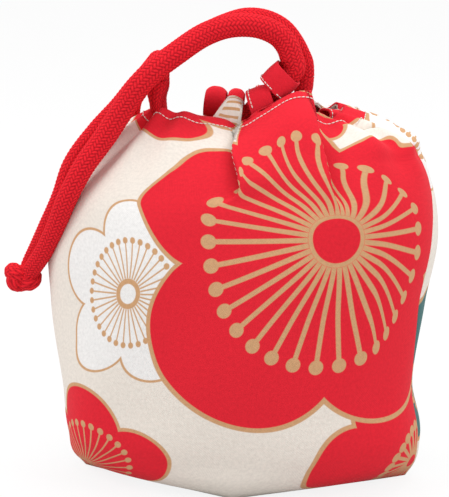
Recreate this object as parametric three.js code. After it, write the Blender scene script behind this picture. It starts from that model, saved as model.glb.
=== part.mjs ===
// Drawstring pouch: a full cloth bag with a boxed base, lined, its gathered mouth ringed
// by sewn cloth loops that two thick braided cords run through.
//
// Millimetres, +Z up. The origin is the middle of the base, +X is the wearer's right as the
// pouch is seen from the front, and the front panel faces -Y.

import * as THREE from 'three';

// Cloth
const CLOTH = 1.0; // outer panel, with its interfacing
const LINING = 0.8;
const CLEARANCE = 0.3; // between pieces that lie against each other
const SEAM_END = 6; // how far the base seam stops short of each side seam

// Cord
const CORD = 10; // diameter where it runs free
const SQUEEZED_WIDTH = 5.5; // the same cord pressed flat inside the loops
const SQUEEZED_HEIGHT = 11;
const EXIT_BEND = 6; // radius of the turn out of the mouth
const EXIT_LEAD = 2; // straight end of that turn, and straight start of a tail
const EXIT_LENGTH = 3; // straight stretch between them

// Mouth: each cord lies doubled round it, the right cord inside the left one
const INNER_LANE = 9; // right cord, distance from the mouth's middle line
const LANE_SPACE = 2; // between the two cords in a loop
const LOOP_WIDTH = 11; // along the rim
const LOOP_HEIGHT = 16;
const LOOP_BAND = 1.2; // folded cloth strip
const LOOP_CORNER = 2;
const FRONT_LOOP_X = -8; // middle of the first loop from the left
const FRONT_LOOP_GAPS = [1, 0]; // between each loop and the next; the last two are sewn edge to edge
const BACK_LOOP_X = -15;
const BACK_LOOP_GAPS = [1, 4];
const RIGHT_CORD_BEND_X = -21.5; // where the right cord turns back at the mouth's left end
const LEFT_CORD_BEND_X = 30; // where the left cord turns back at the right end
const RIGHT_EXIT_FRONT_X = 26.5; // where the right cord's two tails rise
const RIGHT_EXIT_BACK_X = 30.5;
const LEFT_EXIT_X = -41.5;
const LEFT_EXIT_Y = 9; // half the distance between the left cord's tails there
const MOUTH_LEFT = 44; // rim to the left of the origin

// Topstitching along the rim, as shares of the first row of facets below it
const STITCH_FROM = 0.5;
const STITCH_TO = 0.62;
const STITCH_THICKNESS = 0.5;

// Knots at the tails' ends: half sizes along X, Y and Z
const KNOT = [10.5, 9, 7.5];
const RIGHT_KNOT_AT = [-107.5, -14, 102];
const LEFT_KNOT_AT = [-66, 59.2, 91.5];

// Facets
const PANEL_COLUMNS = 20;
const ROW_HEIGHT = 24; // tallest row of facets in a panel
const TUBE_SIDES = 8;
const TAIL_STEPS = 22;
const RUN_STEPS = 40;

// The loops stand on the rim, which lies just inside their outer legs.
const outerLane = INNER_LANE + SQUEEZED_WIDTH + LANE_SPACE;
const laneToLeg = SQUEEZED_WIDTH / 2 + CLEARANCE;
const mouthDepth = outerLane + laneToLeg;
const mouthRight = LEFT_CORD_BEND_X + mouthDepth;

// Horizontal sections of the bag from the base to the rim: the rise from the section below,
// the half widths to the left and right, the half depth, and how square the outline is
// (1 is a diamond, 2 an ellipse, more is boxier).
const SECTIONS = [
  { rise: 0, left: 78, right: 82, depth: 45, square: 1.35 },
  { rise: 6, left: 82, right: 86, depth: 52, square: 1.7 },
  { rise: 14, left: 86.5, right: 88, depth: 57, square: 2.1 },
  { rise: 28, left: 91, right: 85.5, depth: 61, square: 2.2 },
  { rise: 44, left: 96, right: 92, depth: 62, square: 2.2 },
  { rise: 33, left: 96.3, right: 97, depth: 60, square: 2.2 },
  { rise: 25, left: 86, right: 94, depth: 54, square: 2.2 },
  { rise: 16, left: 70, right: 88, depth: 45, square: 2.2 },
  { rise: 11, left: 57, right: 79, depth: 34, square: 2.4 },
  { rise: 7, left: MOUTH_LEFT, right: mouthRight, depth: mouthDepth, square: 3 },
];

let climbed = 0;
const sectionHeights = SECTIONS.map((section) => (climbed += section.rise));
const rimHeight = climbed;
const bagSections = new THREE.CubicInterpolant(
  sectionHeights,
  SECTIONS.flatMap((section) => [section.left, section.right, section.depth, section.square]),
  4,
);

// Heights of the facet rows, from the rim down to the base. A tall rise is shared by several rows.
const wallHeights = SECTIONS.flatMap(({ rise }, i) => {
  const rows = Math.ceil(rise / ROW_HEIGHT);
  return Array.from({ length: rows }, (_, k) => sectionHeights[i] - rise * (1 - (k + 1) / rows));
}).reverse().concat(0);

// Places of the loops along X, from the first one on.
function loopPlaces(first, gaps) {
  let x = first;
  return [first, ...gaps.map((gap) => (x += LOOP_WIDTH + gap))];
}
const frontLoops = loopPlaces(FRONT_LOOP_X, FRONT_LOOP_GAPS);
const backLoops = loopPlaces(BACK_LOOP_X, BACK_LOOP_GAPS);

const laneHeight = rimHeight + CLEARANCE + LOOP_BAND + CLEARANCE + SQUEEZED_HEIGHT / 2;
const exitHeight = laneHeight + EXIT_BEND + EXIT_LEAD;
const tailHeight = exitHeight + CLEARANCE + EXIT_LENGTH + CLEARANCE;

// Routes of the free tails above their exits, hand-placed. The right cord's tails stand up in
// an arch and come down over the left shoulder. The left cord's tails fall behind the bag.
const RIGHT_FRONT_TAIL = [
  [27, -9, 208.5], [25.2, -9.5, 215.6], [19.9, -11, 221.9], [10.9, -14, 226.9], [1.1, -17, 229],
  [-9.7, -20, 226.9], [-20.9, -23.5, 220.4], [-33.4, -28.5, 211.4], [-43.5, -29.5, 201.1],
  [-56.3, -29, 183.6], [-70.8, -30, 165.3], [-81.5, -33.5, 151.9], [-89.7, -33, 137.9],
  [-96.2, -28.5, 124.6], [-101, -23, 115], [-104, -19, 108.6],
];
const RIGHT_BACK_TAIL = [
  [30.1, 8.5, 209.4], [28, 5, 217.9], [22.8, 1, 224.4], [11.4, -3, 230.6], [0, -6.5, 233.2],
  [-12.8, -9.5, 230.1], [-24.9, -14.5, 222.9], [-37.6, -18.5, 215.4], [-48.8, -19, 204.5],
  [-62, -17.5, 186.5], [-77.4, -17.5, 166.6], [-86.2, -22.5, 151.6], [-93.8, -22.3, 138],
  [-100.3, -16.5, 124.5], [-103.9, -10.7, 116.5], [-105.3, -7.8, 111.6],
];
const LEFT_FRONT_TAIL = [
  [-41.8, -7.8, 208], [-46, -2.2, 207.8], [-52.3, 6.3, 201], [-56.5, 16, 192.5], [-60.5, 23.8, 183],
  [-64.5, 30, 171], [-71.2, 36.6, 157], [-76.6, 42, 141], [-77.5, 46, 124], [-75.1, 50.6, 109],
  [-71, 54.7, 97.2],
];
const LEFT_BACK_TAIL = [
  [-42.3, 13, 208], [-46, 21, 204.5], [-53, 29, 195], [-59.5, 36, 183], [-61.5, 41.8, 170],
  [-62.5, 46, 156], [-64.5, 50.2, 140], [-65.5, 53.8, 122], [-63.3, 56.3, 109], [-61.2, 57.5, 99.9],
];

const COLOURS = {
  cloth: 0xd8242f,
  lining: 0xd9d0c4,
  thread: 0xf2ede6,
  cord: 0xcf1b26,
};

// Point on the bag's outer surface: the section at height z, an oval whose corners square up.
function bagPoint(angle, z) {
  const [left, right, depth, square] = bagSections.evaluate(z);
  const across = Math.cos(angle);
  const along = Math.sin(angle);
  const half = across < 0 ? left : right;
  return new THREE.Vector3(
    Math.sign(across) * Math.abs(across) ** (2 / square) * half,
    Math.sign(along) * Math.abs(along) ** (2 / square) * depth,
    z,
  );
}

// Outward normal there, from small steps along the section and up the wall.
function bagNormal(angle, z) {
  const turn = 0.01;
  const climb = 0.5;
  const around = bagPoint(angle + turn, z).sub(bagPoint(angle - turn, z));
  const top = bagPoint(angle, Math.min(z + climb, rimHeight));
  const up = top.sub(bagPoint(angle, Math.max(z - climb, 0)));
  return around.cross(up).normalize();
}

// Point of a wall lying `inset` inside the outer surface. At the foot the wall meets a floor
// of the same inset, so the offset there is level.
function wallPoint(angle, z, inset) {
  const normal = bagNormal(angle, z);
  if (z === 0) {
    normal.setZ(0).normalize();
  }
  const point = bagPoint(angle, z).addScaledVector(normal, -inset);
  return z === 0 ? point.setZ(inset) : point;
}

// Point of the floor, a share of the way in from the foot of the wall to the base seam.
function floorPoint(angle, share, inset) {
  const point = wallPoint(angle, 0, inset);
  point.x -= Math.sign(point.x) * Math.min(SEAM_END, Math.abs(point.x) / 2) * share;
  point.y *= 1 - share;
  return point;
}

// Closed body between two matching grids of points: rows run down, columns run round.
function closedSheet(outer, inner) {
  const rows = outer.length;
  const columns = outer[0].length;
  const positions = [...outer.flat(), ...inner.flat()].flatMap((point) => point.toArray());
  const at = (row, column) => row * columns + column;
  const under = rows * columns;
  const faces = [];
  for (let row = 0; row < rows - 1; row += 1) {
    for (let column = 0; column < columns - 1; column += 1) {
      const a = at(row, column);
      const b = at(row + 1, column);
      const c = at(row + 1, column + 1);
      const d = at(row, column + 1);
      faces.push(a, b, c, a, c, d);
      faces.push(under + a, under + c, under + b, under + a, under + d, under + c);
    }
  }
  const edge = [];
  for (let row = 0; row < rows - 1; row += 1) edge.push(at(row, 0));
  for (let column = 0; column < columns - 1; column += 1) edge.push(at(rows - 1, column));
  for (let row = rows - 1; row > 0; row -= 1) edge.push(at(row, columns - 1));
  for (let column = columns - 1; column > 0; column -= 1) edge.push(at(0, column));
  edge.forEach((p, i) => {
    const q = edge[(i + 1) % edge.length];
    faces.push(q, p, under + p, q, under + p, under + q);
  });
  const geometry = new THREE.BufferGeometry();
  geometry.setAttribute('position', new THREE.Float32BufferAttribute(positions, 3));
  geometry.setIndex(faces);
  return geometry;
}

// Angles round one half of the bag: the back from right to left, the front from left to right.
function halfAngles(side) {
  const start = side < 0 ? Math.PI : 0;
  return Array.from({ length: PANEL_COLUMNS + 1 }, (_, i) => start + (Math.PI * i) / PANEL_COLUMNS);
}

// Half of the bag in cloth: a wall and its half of the floor, a clearance short of the seams.
function halfBag(side, inset, thickness) {
  const grid = (depth) => {
    const rows = [
      ...wallHeights.map((z) => (angle) => wallPoint(angle, z, depth)),
      (angle) => floorPoint(angle, 0.5, depth),
      (angle) => floorPoint(angle, 1, depth),
    ];
    return rows.map((row) => halfAngles(side).map((angle) => {
      const point = row(angle);
      point.y += (side * CLEARANCE) / 2;
      return point;
    }));
  };
  return closedSheet(grid(inset), grid(inset + thickness));
}

// Row of stitching round one half of the rim, lying on the outer cloth.
function rimStitch(side) {
  const grid = (lift) => [STITCH_FROM, STITCH_TO].map((share) => halfAngles(side).map((angle) => {
    const top = wallPoint(angle, wallHeights[0], -lift);
    const point = top.lerp(wallPoint(angle, wallHeights[1], -lift), share);
    point.y += (side * CLEARANCE) / 2;
    return point;
  }));
  return closedSheet(grid(CLEARANCE + STITCH_THICKNESS), grid(CLEARANCE));
}

function roundedRectangle(path, width, height, corner) {
  const x = width / 2 - corner;
  const y = height / 2 - corner;
  path.absarc(x, y, corner, 0, Math.PI / 2);
  path.absarc(-x, y, corner, Math.PI / 2, Math.PI);
  path.absarc(-x, -y, corner, Math.PI, 1.5 * Math.PI);
  path.absarc(x, -y, corner, 1.5 * Math.PI, 2 * Math.PI);
  path.closePath();
  return path;
}

// Cloth loop: a folded strip sewn down into a ring, as deep as the cords side by side in it.
function loopRing(depth) {
  const shape = roundedRectangle(new THREE.Shape(), depth, LOOP_HEIGHT, LOOP_CORNER);
  const hole = roundedRectangle(
    new THREE.Path(),
    depth - 2 * LOOP_BAND,
    LOOP_HEIGHT - 2 * LOOP_BAND,
    LOOP_CORNER - LOOP_BAND,
  );
  shape.holes.push(hole);
  const settings = { depth: LOOP_WIDTH, bevelEnabled: false, curveSegments: 3 };
  return new THREE.ExtrudeGeometry(shape, settings).translate(0, 0, -LOOP_WIDTH / 2);
}

// Tube of an oval section along a smooth curve through the points.
function tube(points, halfWidth, halfHeight, steps) {
  const curve = new THREE.CatmullRomCurve3(points.map((point) => new THREE.Vector3(...point)));
  const section = Array.from({ length: TUBE_SIDES }, (_, i) => {
    const angle = (2 * Math.PI * i) / TUBE_SIDES;
    return new THREE.Vector2(halfWidth * Math.cos(angle), halfHeight * Math.sin(angle));
  });
  return new THREE.ExtrudeGeometry(new THREE.Shape(section), { steps, extrudePath: curve });
}

// Turn from the lane up to an exit, from the exit down: quarter circle in a plane of constant y.
function exitTurn(x, y, towards) {
  const arc = [90, 60, 30, 0].map((degrees) => {
    const angle = THREE.MathUtils.degToRad(degrees);
    const across = towards * EXIT_BEND * (1 - Math.sin(angle));
    return [x + across, y, laneHeight + EXIT_BEND * (1 - Math.cos(angle))];
  });
  return [[x, y, exitHeight], ...arc];
}

// Half circle in the lane's plane from the front lane to the back one, bulging along `towards`.
function laneBend(x, lane, towards) {
  return [-60, -30, 0, 30, 60].map((degrees) => {
    const angle = THREE.MathUtils.degToRad(degrees);
    return [x + towards * lane * Math.cos(angle), lane * Math.sin(angle), laneHeight];
  });
}

// The right cord in the loops: down from its front exit, left, round the bend, right and up.
function rightCordRun() {
  return [
    ...exitTurn(RIGHT_EXIT_FRONT_X, -INNER_LANE, -1),
    [frontLoops[2], -INNER_LANE, laneHeight],
    [frontLoops[1], -INNER_LANE, laneHeight],
    [frontLoops[0], -INNER_LANE, laneHeight],
    [RIGHT_CORD_BEND_X, -INNER_LANE, laneHeight],
    ...laneBend(RIGHT_CORD_BEND_X, INNER_LANE, -1),
    [RIGHT_CORD_BEND_X, INNER_LANE, laneHeight],
    [backLoops[1], INNER_LANE, laneHeight],
    [backLoops[2], INNER_LANE, laneHeight],
    ...exitTurn(RIGHT_EXIT_BACK_X, INNER_LANE, -1).reverse(),
  ];
}

// The left cord outside it: from its front exit to the right end's bend and back.
function leftCordRun() {
  const laneEnd = backLoops[0] - LOOP_WIDTH / 2 - CORD / 2;
  return [
    ...exitTurn(LEFT_EXIT_X, -LEFT_EXIT_Y, 1),
    [laneEnd, -outerLane, laneHeight],
    [frontLoops[0] - LOOP_WIDTH / 2, -outerLane, laneHeight],
    [frontLoops[1], -outerLane, laneHeight],
    [frontLoops[2], -outerLane, laneHeight],
    [LEFT_CORD_BEND_X, -outerLane, laneHeight],
    ...laneBend(LEFT_CORD_BEND_X, outerLane, 1),
    [LEFT_CORD_BEND_X, outerLane, laneHeight],
    [backLoops[2], outerLane, laneHeight],
    [backLoops[1], outerLane, laneHeight],
    [backLoops[0] - LOOP_WIDTH / 2, outerLane, laneHeight],
    [laneEnd, outerLane, laneHeight],
    ...exitTurn(LEFT_EXIT_X, LEFT_EXIT_Y, 1).reverse(),
  ];
}

const pouch = new THREE.Group();

function addPart(name, geometry, colour, roughness = 0.9) {
  const material = new THREE.MeshStandardMaterial({ color: colour, roughness, metalness: 0 });
  const mesh = new THREE.Mesh(geometry, material);
  mesh.name = name;
  pouch.add(mesh);
  return mesh;
}

for (const [half, side] of [['front', -1], ['back', 1]]) {
  addPart(`${half}_panel`, halfBag(side, 0, CLOTH), COLOURS.cloth);
  addPart(`${half}_lining`, halfBag(side, CLOTH + CLEARANCE, LINING), COLOURS.lining);
  addPart(`${half}_topstitch`, rimStitch(side), COLOURS.thread);
}

const alongRim = new THREE.Matrix4().makeBasis(
  new THREE.Vector3(0, 1, 0),
  new THREE.Vector3(0, 0, 1),
  new THREE.Vector3(1, 0, 0),
);
const acrossRim = new THREE.Matrix4().makeBasis(
  new THREE.Vector3(1, 0, 0),
  new THREE.Vector3(0, 0, 1),
  new THREE.Vector3(0, -1, 0),
);
const loopDepth = outerLane - INNER_LANE + 2 * (laneToLeg + LOOP_BAND);
const loopMiddle = (outerLane + INNER_LANE) / 2;
const loopHeight = rimHeight + CLEARANCE + LOOP_HEIGHT / 2;

function addLoop(name, x, y, depth, basis) {
  const loop = addPart(name, loopRing(depth), COLOURS.cloth);
  loop.quaternion.setFromRotationMatrix(basis);
  loop.position.set(x, y, loopHeight);
}

frontLoops.forEach((x, i) => addLoop(`front_loop_${i + 1}`, x, -loopMiddle, loopDepth, alongRim));
backLoops.forEach((x, i) => addLoop(`back_loop_${i + 1}`, x, loopMiddle, loopDepth, alongRim));

// The end loop holds the left cord's bend, which curves away by this much inside it.
const bendInnerRadius = outerLane - SQUEEZED_WIDTH / 2;
const bendSag = bendInnerRadius - Math.sqrt(bendInnerRadius ** 2 - (LOOP_WIDTH / 2) ** 2);
const endLoopDepth = bendSag + 2 * (laneToLeg + LOOP_BAND);
const endLoopX = mouthRight + LOOP_BAND - endLoopDepth / 2;
addLoop('right_end_loop', endLoopX, 0, endLoopDepth, acrossRim);

// Each cord: the run held in the loops, then a straight exit, a free tail and a knot.
const CORDS = [
  {
    name: 'right_cord',
    run: rightCordRun(),
    knot: RIGHT_KNOT_AT,
    tails: [
      { side: 'front', x: RIGHT_EXIT_FRONT_X, y: -INNER_LANE, route: RIGHT_FRONT_TAIL },
      { side: 'back', x: RIGHT_EXIT_BACK_X, y: INNER_LANE, route: RIGHT_BACK_TAIL },
    ],
  },
  {
    name: 'left_cord',
    run: leftCordRun(),
    knot: LEFT_KNOT_AT,
    tails: [
      { side: 'front', x: LEFT_EXIT_X, y: -LEFT_EXIT_Y, route: LEFT_FRONT_TAIL },
      { side: 'back', x: LEFT_EXIT_X, y: LEFT_EXIT_Y, route: LEFT_BACK_TAIL },
    ],
  },
];

for (const cord of CORDS) {
  const run = tube(cord.run, SQUEEZED_WIDTH / 2, SQUEEZED_HEIGHT / 2, RUN_STEPS);
  addPart(`${cord.name}_mouth_run`, run, COLOURS.cord);
  for (const { side, x, y, route } of cord.tails) {
    const foot = exitHeight + CLEARANCE;
    const exit = tube([[x, y, foot], [x, y, foot + EXIT_LENGTH]], CORD / 2, CORD / 2, 1);
    addPart(`${cord.name}_${side}_exit`, exit, COLOURS.cord);
    const start = [[x, y, tailHeight], [x, y, tailHeight + EXIT_LEAD]];
    const tail = tube([...start, ...route], CORD / 2, CORD / 2, TAIL_STEPS);
    addPart(`${cord.name}_${side}_tail`, tail, COLOURS.cord);
  }
  const knot = addPart(`${cord.name}_knot`, new THREE.SphereGeometry(1, 14, 10), COLOURS.cord);
  knot.scale.set(...KNOT);
  knot.position.set(...cord.knot);
}

export default pouch;
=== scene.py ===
"""Dresses the drawstring pouch: printed cotton bag, lining, sewn loops, stitching and braided cords."""

import bpy
import numpy as np
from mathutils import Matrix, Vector


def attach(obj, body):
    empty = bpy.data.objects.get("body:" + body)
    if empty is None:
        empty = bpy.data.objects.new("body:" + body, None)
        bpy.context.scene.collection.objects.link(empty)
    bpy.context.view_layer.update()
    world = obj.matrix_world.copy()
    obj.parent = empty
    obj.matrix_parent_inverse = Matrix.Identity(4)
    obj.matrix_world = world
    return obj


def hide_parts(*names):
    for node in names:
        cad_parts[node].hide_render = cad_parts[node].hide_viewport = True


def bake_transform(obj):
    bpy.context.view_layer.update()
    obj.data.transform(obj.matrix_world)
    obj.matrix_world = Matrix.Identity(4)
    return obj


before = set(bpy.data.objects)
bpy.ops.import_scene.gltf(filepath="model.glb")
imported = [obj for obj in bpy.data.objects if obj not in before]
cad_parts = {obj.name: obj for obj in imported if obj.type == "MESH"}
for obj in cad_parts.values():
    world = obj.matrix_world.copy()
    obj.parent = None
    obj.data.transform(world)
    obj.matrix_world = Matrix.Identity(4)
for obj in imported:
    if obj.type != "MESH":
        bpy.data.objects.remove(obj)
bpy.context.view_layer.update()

MM = 0.001  # shapes below are worked out in millimetres


# Small tools

def hex_colour(code):
    """sRGB hex text to linear red, green, blue and alpha."""
    srgb = np.array([int(code[i:i + 2], 16) for i in (1, 3, 5)]) / 255
    linear = np.where(srgb <= 0.04045, srgb / 12.92, ((srgb + 0.055) / 1.055) ** 2.4)
    return (*linear.tolist(), 1.0)


def ease(x):
    """Smooth step: 0 below 0, 1 above 1, and 3x^2 - 2x^3 between."""
    x = np.clip(x, 0, 1)
    return x * x * (3 - 2 * x)


def bell(x, width):
    """Bell curve of height 1 with that half width."""
    return np.exp(-((x / width) ** 2))


def through(x, knots, values):
    """Cubic curve through the values at the knots, with the slope of the neighbours at each knot."""
    knots = np.asarray(knots, float)
    values = np.asarray(values, float)
    slopes = np.gradient(values, knots, axis=0)
    x = np.clip(x, knots[0], knots[-1])
    i = np.clip(np.searchsorted(knots, x) - 1, 0, len(knots) - 2)
    step = knots[i + 1] - knots[i]
    t = (x - knots[i]) / step
    if values.ndim > 1:
        step, t = step[..., None], t[..., None]
    start = (2 * t**3 - 3 * t**2 + 1) * values[i] + (t**3 - 2 * t**2 + t) * step * slopes[i]
    return start + (3 * t**2 - 2 * t**3) * values[i + 1] + (t**3 - t**2) * step * slopes[i + 1]


PATH_DETAIL = 40  # fine steps for each point of a route


def smooth_path(points, spacing):
    """Cubic curve through the points, by chord length, cut into equal steps of about that spacing."""
    points = np.asarray(points, float)
    chord = np.concatenate([[0], np.cumsum(np.linalg.norm(np.diff(points, axis=0), axis=1))])
    fine = through(np.linspace(0, chord[-1], PATH_DETAIL * len(points)), chord, points)
    run = np.concatenate([[0], np.cumsum(np.linalg.norm(np.diff(fine, axis=0), axis=1))])
    places = np.linspace(0, run[-1], max(4, int(round(run[-1] / spacing)) + 1))
    return np.stack([np.interp(places, run, fine[:, k]) for k in range(3)], axis=1)


def grid_object(name, grid, uv=None, wrap=False, poles=(), values=None):
    """Quads over a grid of points (rows, columns, 3) in millimetres. wrap joins the last column to the first.
    poles are points that close the first and last row of a grid without uv. uv has one column more where the
    grid wraps. values are kept at the points as relief."""
    rows, columns = grid.shape[:2]
    r, c = np.meshgrid(np.arange(rows - 1), np.arange(columns if wrap else columns - 1), indexing="ij")
    r, c = r.ravel(), c.ravel()
    d = (c + 1) % columns
    quads = np.stack([r * columns + c, r * columns + d, (r + 1) * columns + d, (r + 1) * columns + c], axis=1)
    points = grid.reshape(-1, 3)
    faces = quads.tolist()
    if len(poles):
        k = np.arange(columns)
        k2 = (k + 1) % columns
        last = (rows - 1) * columns
        points = np.concatenate([points, np.asarray(poles, float)])
        faces += np.stack([k2, k, np.full(columns, rows * columns)], axis=1).tolist()
        faces += np.stack([last + k, last + k2, np.full(columns, rows * columns + 1)], axis=1).tolist()
    mesh = bpy.data.meshes.new(name)
    mesh.from_pydata((points * MM).tolist(), [], faces)
    if uv is not None:
        corners = np.stack([uv[r, c], uv[r, c + 1], uv[r + 1, c + 1], uv[r + 1, c]], axis=1)
        layer = mesh.uv_layers.new(name="cloth_mm")
        layer.data.foreach_set("uv", corners.astype(np.float32).ravel())
    if values is not None:
        attribute = mesh.attributes.new("relief", "FLOAT", "POINT")
        data = np.concatenate([values.ravel(), np.zeros(len(poles))]).astype(np.float32)
        attribute.data.foreach_set("value", data)
    mesh.polygons.foreach_set("use_smooth", np.ones(len(mesh.polygons), bool))
    obj = bpy.data.objects.new(name, mesh)
    bpy.context.collection.objects.link(obj)
    return obj


def thicken(obj, thickness):
    """Live Solidify: gives a sheet its cloth thickness in millimetres, on its inner side."""
    modifier = obj.modifiers.new("cloth thickness", "SOLIDIFY")
    modifier.thickness = thickness * MM
    modifier.offset = -1


def node(tree, kind, *inputs, out=0, **settings):
    """Adds a node: inputs are sockets or values in order (None skips one), settings are its properties."""
    made = tree.nodes.new(kind)
    for key, value in settings.items():
        setattr(made, key, value)
    for i, value in enumerate(inputs):
        if isinstance(value, bpy.types.NodeSocket):
            tree.links.new(value, made.inputs[i])
        elif value is not None:
            made.inputs[i].default_value = value
    return made.outputs[out]


def calc(tree, operation, *inputs):
    """Math node of that operation."""
    return node(tree, "ShaderNodeMath", *inputs, operation=operation)


def mixed_colour(tree, share, first, second):
    """Mix of two colours: the first where share is 0, the second where it is 1."""
    unused = [None] * 5
    return node(tree, "ShaderNodeMix", share, *unused, first, second, data_type="RGBA", out=2)


def flat_axes(tree, vector):
    """The vector's first two numbers."""
    return (node(tree, "ShaderNodeSeparateXYZ", vector, out=k) for k in range(2))


def material(name, roughness, specular, sheen):
    """New material with a principled shader; gives the material, its tree and the shader."""
    made = bpy.data.materials.new(name)
    made.use_nodes = True
    shader = made.node_tree.nodes["Principled BSDF"]
    shader.inputs["Roughness"].default_value = roughness
    shader.inputs["Specular IOR Level"].default_value = specular
    shader.inputs["Sheen Weight"].default_value = sheen
    shader.inputs["Sheen Roughness"].default_value = SHEEN_ROUGHNESS
    return made, made.node_tree, shader


# Camera, at the photo's angle: a little to the right and above

IMAGE = (449, 497)  # pixels
SCALE = 0.5  # millimetres per pixel at the pouch
DISTANCE = 1100
AZIMUTH = np.radians(6)
ELEVATION = np.radians(13)
AIM = np.array([-8.2, 0, 115.7])
SENSOR = 24

level = np.cos(ELEVATION)
away = np.array([np.sin(AZIMUTH) * level, -np.cos(AZIMUTH) * level, np.sin(ELEVATION)])
camera_data = bpy.data.cameras.new("photo_camera")
camera_data.sensor_fit = "VERTICAL"
camera_data.sensor_height = SENSOR
camera_data.lens = SENSOR * DISTANCE / (IMAGE[1] * SCALE)
camera_data.clip_end = 50  # metres
camera = bpy.data.objects.new("photo_camera", camera_data)
camera.location = Vector(((AIM + DISTANCE * away) * MM).tolist())
camera.rotation_euler = Vector((-away).tolist()).to_track_quat("-Z", "Y").to_euler()
bpy.context.collection.objects.link(camera)
bpy.context.scene.camera = camera


# Colours from the photo

RED = "#E22434"
CORD_RED = "#F02430"
# painted shade: the darker red of the gaps between the cord's strands
CORD_GAP_SHADE = "#A5121D"
TAN = "#CFA176"
CREAM = "#EBE3D9"
PETAL_WHITE = "#F0EEEC"
TEAL = "#4F7676"
LINING = "#CFC7BB"
THREAD = "#F4EEE6"


# Materials

COTTON = (0.88, 0.15, 0.04)  # roughness, specular level and sheen of matt cotton
SHEEN_ROUGHNESS = 0.5
NOISE_SPAN = (0.3, 0.7)  # what the noise mostly lies between
GRAIN = (0.55, 3.0, 0.6)  # noise of the cloth: scale per millimetre, detail and roughness
GRAIN_LEVEL = (0.93, 1.06)  # how dark and how bright it makes the colour
CLOTH_BUMP = (0.12, 0.0004)  # strength and height in metres
TWIST = (1800.0, 2.0, 0.5)  # noise of the thread, its scale per metre
TWIST_LEVEL = (0.86, 1.0)
FIBRES = (900.0, 3.0, 0.6)  # noise of the cord, its scale per metre
FIBRE_RELIEF = (-0.12, 0.12)
STRAND_EDGE = (0.2, 0.8)  # relief where a strand's colour begins over the painted gap shade and is full
THREADS = 1.3  # spacing of the drawn threads; the real ones are 0.3 mm apart and wouldn't show
PETALS = 5
HEART = 0.7  # share of the notches' distance that the petals fill as one
LOOSE_SHARPNESS = 6.0  # how narrowly a loose notch and a small petal keep to their direction
SMALL_SHARPNESS = 24.0
FILL_EDGE = 0.2  # half width over which a printed area and a printed line fade
INK_EDGE = 0.25


def weave(tree, spot):
    """Plain weave height: two crossed sine ribs of the drawn threads' spacing, one over the other."""
    turns = (calc(tree, "MULTIPLY", k, 2 * np.pi / THREADS) for k in flat_axes(tree, spot))
    warp, weft = (calc(tree, "SINE", k) for k in turns)
    return calc(tree, "MULTIPLY", warp, weft)


def finish_cloth(tree, shader, colour, spot):
    """Mottles the colour with fine noise and gives the cloth its weave as bump."""
    grain = node(tree, "ShaderNodeTexNoise", spot, None, *GRAIN)
    level = node(tree, "ShaderNodeMapRange", grain, *NOISE_SPAN, *GRAIN_LEVEL)
    bright = node(tree, "ShaderNodeHueSaturation", 0.5, 1.0, level, 1.0, colour)
    tree.links.new(bright, shader.inputs["Base Color"])
    height = calc(tree, "ADD", weave(tree, spot), grain)
    bump = node(tree, "ShaderNodeBump", *CLOTH_BUMP, None, height)
    tree.links.new(bump, shader.inputs["Normal"])


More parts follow.
